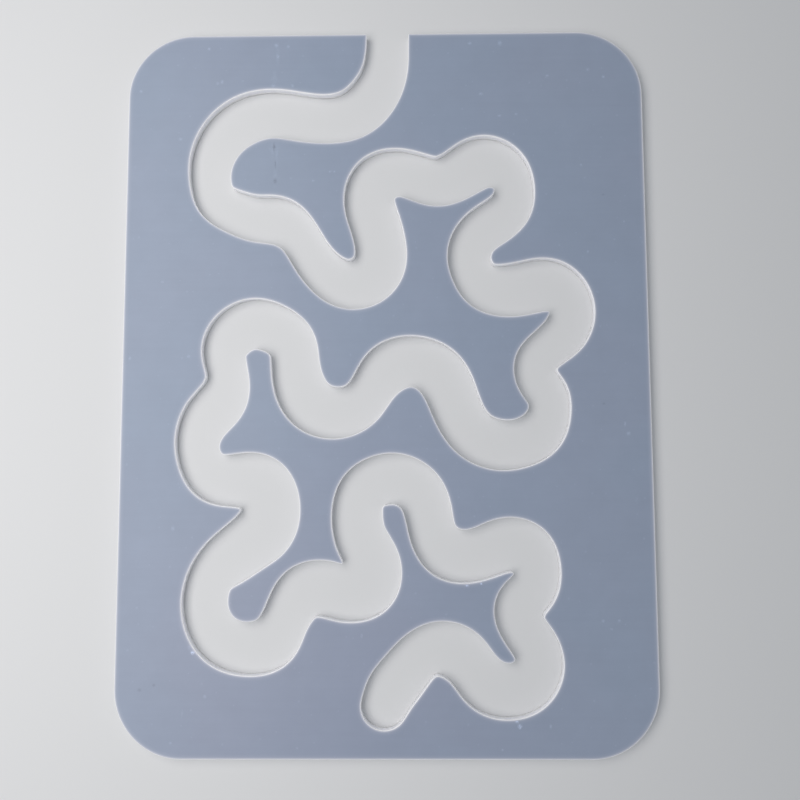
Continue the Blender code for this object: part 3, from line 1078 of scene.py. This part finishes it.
    def _fill(self, ring: np.ndarray, low: Vector, high: Vector) -> tuple[np.ndarray, np.ndarray]:
        """Fills the middle of a face.

        Args:
            ring: The innermost row of points beside the rim, as rows of x and y.
            low: The sheet's lowest corner.
            high: The sheet's highest corner.

        Returns:
            The added points, and the triangles, which number the ring's points first.
        """
        step = self.fill_step
        xs = np.arange(low.x, high.x, step)
        ys = np.arange(low.y, high.y, step * TRIANGLE_HEIGHT)
        grid = np.array([(x + step / 2 * (k % 2), y) for k, y in enumerate(ys) for x in xs])
        marked = np.vstack([mark.mesh_points(low, high) for mark in MARKS])
        grid = grid[self._nearest(grid, np.vstack([ring, marked])) > step / 2]
        marked = marked[self._nearest(marked, ring) > self.spacing / self.mark_crowding]
        places = np.vstack([grid, marked])
        every = np.vstack([ring, places])
        start = np.arange(len(ring))
        edges = np.column_stack([start, np.roll(start, -1)]).tolist()
        vectors = [Vector(place) for place in (every / MILLIMETRE).tolist()]
        filled = delaunay_2d_cdt(vectors, edges, [], FILL_INSIDE, FILL_WELD)
        _, _, triangles, sources, _, _ = filled
        number = np.array([source[0] for source in sources])
        return places, number[np.array(triangles)]

    @staticmethod
    def _nearest(points: np.ndarray, others: np.ndarray, rows_at_once: int = 500) -> np.ndarray:
        """The distance from each point to the nearest of the others.

        Args:
            points: Rows of x and y.
            others: The other points, as rows of x and y.
            rows_at_once: How many points are worked on together.

        Returns:
            The distances, in metres.
        """
        found = np.empty(len(points))
        for first in range(0, len(points), rows_at_once):
            rows = slice(first, first + rows_at_once)
            apart = points[rows, None] - others[None]
            found[rows] = np.sqrt(np.sum(apart**2, axis=2).min(axis=1))
        return found

    def dress(self, sheet: bpy.types.Object) -> None:
        """Gives the sheet its two finishes.

        Args:
            sheet: The bare sheet.
        """
        finishes = {
            Patch.FACE: self.face.material("frosted_face"),
            Patch.EDGE: self.edge.material("cut_edge"),
        }
        for patch in Patch:
            sheet.data.materials.append(finishes[patch])


@dataclass(frozen=True)
class SoftBox:
    """A rectangular soft lamp.

    Attributes:
        name: The lamp's name.
        place: Its middle, in metres.
        target: The point that it faces, in metres.
        width: Its width, in metres.
        height: Its height, in metres.
        power: Its power, in watts.
        colour: The colour of its light.
    """

    name: str
    place: tuple[float, float, float]
    target: tuple[float, float, float]
    width: float
    height: float
    power: float
    colour: tuple[float, float, float] = (1.0, 1.0, 1.0)

    def build(self) -> bpy.types.Object:
        """Hangs the lamp.

        Returns:
            The lamp.
        """
        data = bpy.data.lights.new(self.name, "AREA")
        data.shape = "RECTANGLE"
        data.size = self.width
        data.size_y = self.height
        data.energy = self.power
        data.color = self.colour
        lamp = bpy.data.objects.new(self.name, data)
        lamp.visible_camera = False
        lamp.location = self.place
        aim = Vector(self.target) - Vector(self.place)
        lamp.rotation_euler = aim.to_track_quat("-Z", "Y").to_euler()
        bpy.context.scene.collection.objects.link(lamp)
        return lamp


@dataclass(frozen=True)
class Studio:
    """The plain floor, the lamps and the light all round.

    Attributes:
        floor_radius: The floor's radius, in metres.
        floor_sides: How many sides the round floor has.
        floor_gap: How far the floor lies under the sheet, in metres.
        floor_colour: The floor's colour.
        floor_roughness: How dull the floor is.
        floor_shine: How much light its surface throws back.
        tooth_count: How many grains its tooth has to the metre.
        tooth_relief: How much that tooth shows.
        tooth_height: The height of the tooth, in metres.
        around: The colour of the light from all round.
        around_strength: How strong that light is.
        backdrop: The colour that the camera sees beyond the floor.
        lamps: The soft lamps.
    """

    floor_radius: float = 4.0
    floor_sides: int = 96
    floor_gap: float = 0.00005
    floor_colour: tuple[float, float, float, float] = (0.69, 0.695, 0.71, 1.0)
    floor_roughness: float = 0.8
    floor_shine: float = 0.2
    tooth_count: float = 900.0
    tooth_relief: float = 0.05
    tooth_height: float = 0.0001
    around: tuple[float, float, float, float] = (0.90, 0.95, 1.0, 1.0)
    around_strength: float = 0.36
    backdrop: tuple[float, float, float, float] = (0.69, 0.695, 0.71, 1.0)
    lamps: tuple[SoftBox, ...] = (
        SoftBox("key_lamp", (-0.20, 0.02, 0.30), (-0.06, 0.01, 0.0), 0.55, 0.24, 1.12, (1.0, 0.975, 0.94)),
        SoftBox("fill_lamp", (0.9, -0.5, 1.1), (0.0, 0.0, 0.0), 0.9, 0.9, 1.5),
    )

    def build(self) -> None:
        """Builds the floor, the light all round and the lamps."""
        self._floor()
        self._light_all_round()
        for soft_box in self.lamps:
            lamp = soft_box.build()
            log.info("%s: %.1f W", lamp.name, lamp.data.energy)

    def _floor(self) -> None:
        """Lays the plain floor."""
        shape = bmesh.new()
        bmesh.ops.create_circle(
            shape, cap_ends=True, segments=self.floor_sides, radius=self.floor_radius
        )
        mesh = bpy.data.meshes.new("floor")
        shape.to_mesh(mesh)
        shape.free()
        floor = bpy.data.objects.new("floor", mesh)
        floor.location.z = -self.floor_gap
        bpy.context.scene.collection.objects.link(floor)
        made = bpy.data.materials.new("pale_floor")
        made.use_nodes = True
        nodes = Nodes(made.node_tree)
        place = nodes.add("ShaderNodeTexCoord").outputs["Object"]
        tooth = nodes.noise(place, self.tooth_count)
        inputs = {"Strength": self.tooth_relief, "Distance": self.tooth_height, "Height": tooth}
        bump = nodes.add("ShaderNodeBump", inputs)
        inputs = {"Base Color": self.floor_colour, "Normal": bump.outputs["Normal"]}
        dull = {"Roughness": self.floor_roughness, "Specular IOR Level": self.floor_shine}
        shader = nodes.add("ShaderNodeBsdfPrincipled", {**inputs, **dull})
        nodes.add("ShaderNodeOutputMaterial", {"Surface": shader.outputs["BSDF"]})
        mesh.materials.append(made)

    def _light_all_round(self) -> None:
        """Sets the world: soft light for the object, and a plain pale backdrop for the eye."""
        world = bpy.data.worlds.new("studio")
        world.use_nodes = True
        bpy.context.scene.world = world
        nodes = Nodes(world.node_tree)
        seen = nodes.add("ShaderNodeBackground", {"Color": self.backdrop, "Strength": 1.0})
        light = nodes.add("ShaderNodeBackground", {"Color": self.around, "Strength": self.around_strength})
        ray = nodes.add("ShaderNodeLightPath")
        straight = nodes.math("MAXIMUM", ray.outputs["Is Camera Ray"], ray.outputs["Is Glossy Ray"])
        straight = nodes.math("MAXIMUM", straight, ray.outputs["Is Transmission Ray"])
        inputs = {0: straight, 1: light.outputs[0], 2: seen.outputs[0]}
        mixed = nodes.add("ShaderNodeMixShader", inputs)
        nodes.add("ShaderNodeOutputWorld", {"Surface": mixed.outputs[0]})


@dataclass(frozen=True)
class PhotoCamera:
    """The camera, where the photograph was taken from: nearly straight above the sheet.

    Attributes:
        place: Its place, in metres.
        target: The point on the sheet's upper face that it looks at, in metres.
        roll: The turn of its picture about that line, in radians.
        lens: Its focal length, in millimetres.
        sensor: Its sensor's width, in millimetres.
        nearest: The nearest distance that it sees, in metres.
        farthest: The farthest distance that it sees, in metres.
    """

    place: tuple[float, float, float] = (0.0075, -0.0232, 0.2332)
    target: tuple[float, float, float] = (0.0048, -0.0055, 0.003)
    roll: float = math.radians(0.23)
    lens: float = 32.4
    sensor: float = 36.0
    nearest: float = 0.01
    farthest: float = 20.0

    def build(self) -> bpy.types.Object:
        """Sets the camera up as the scene's own.

        Returns:
            The camera.
        """
        data = bpy.data.cameras.new("camera")
        data.lens = self.lens
        data.sensor_width = self.sensor
        data.clip_start = self.nearest
        data.clip_end = self.farthest
        camera = bpy.data.objects.new("camera", data)
        back = (Vector(self.place) - Vector(self.target)).normalized()
        right = Vector((math.sin(self.roll), math.cos(self.roll), 0.0)).cross(back).normalized()
        axes = Matrix((right, back.cross(right), back)).transposed()
        camera.matrix_world = Matrix.Translation(self.place) @ axes.to_4x4()
        bpy.context.scene.collection.objects.link(camera)
        bpy.context.scene.camera = camera
        return camera


def main() -> None:
    """Builds the dressed object, the studio and the camera around the frame."""
    logging.basicConfig(level=logging.INFO, format="%(name)s: %(message)s")
    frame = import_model()
    scene = bpy.context.scene
    scene.view_settings.view_transform = "Standard"
    camera = PhotoCamera().build()
    log.info("%s: %.1f mm lens", camera.name, camera.data.lens)
    Studio().build()
    sheet = TemplateSheet().build(frame["nodes"][PLATE_NODE])
    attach(sheet, BODY)
    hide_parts(PLATE_NODE)


if __name__ == "__main__":
    main()
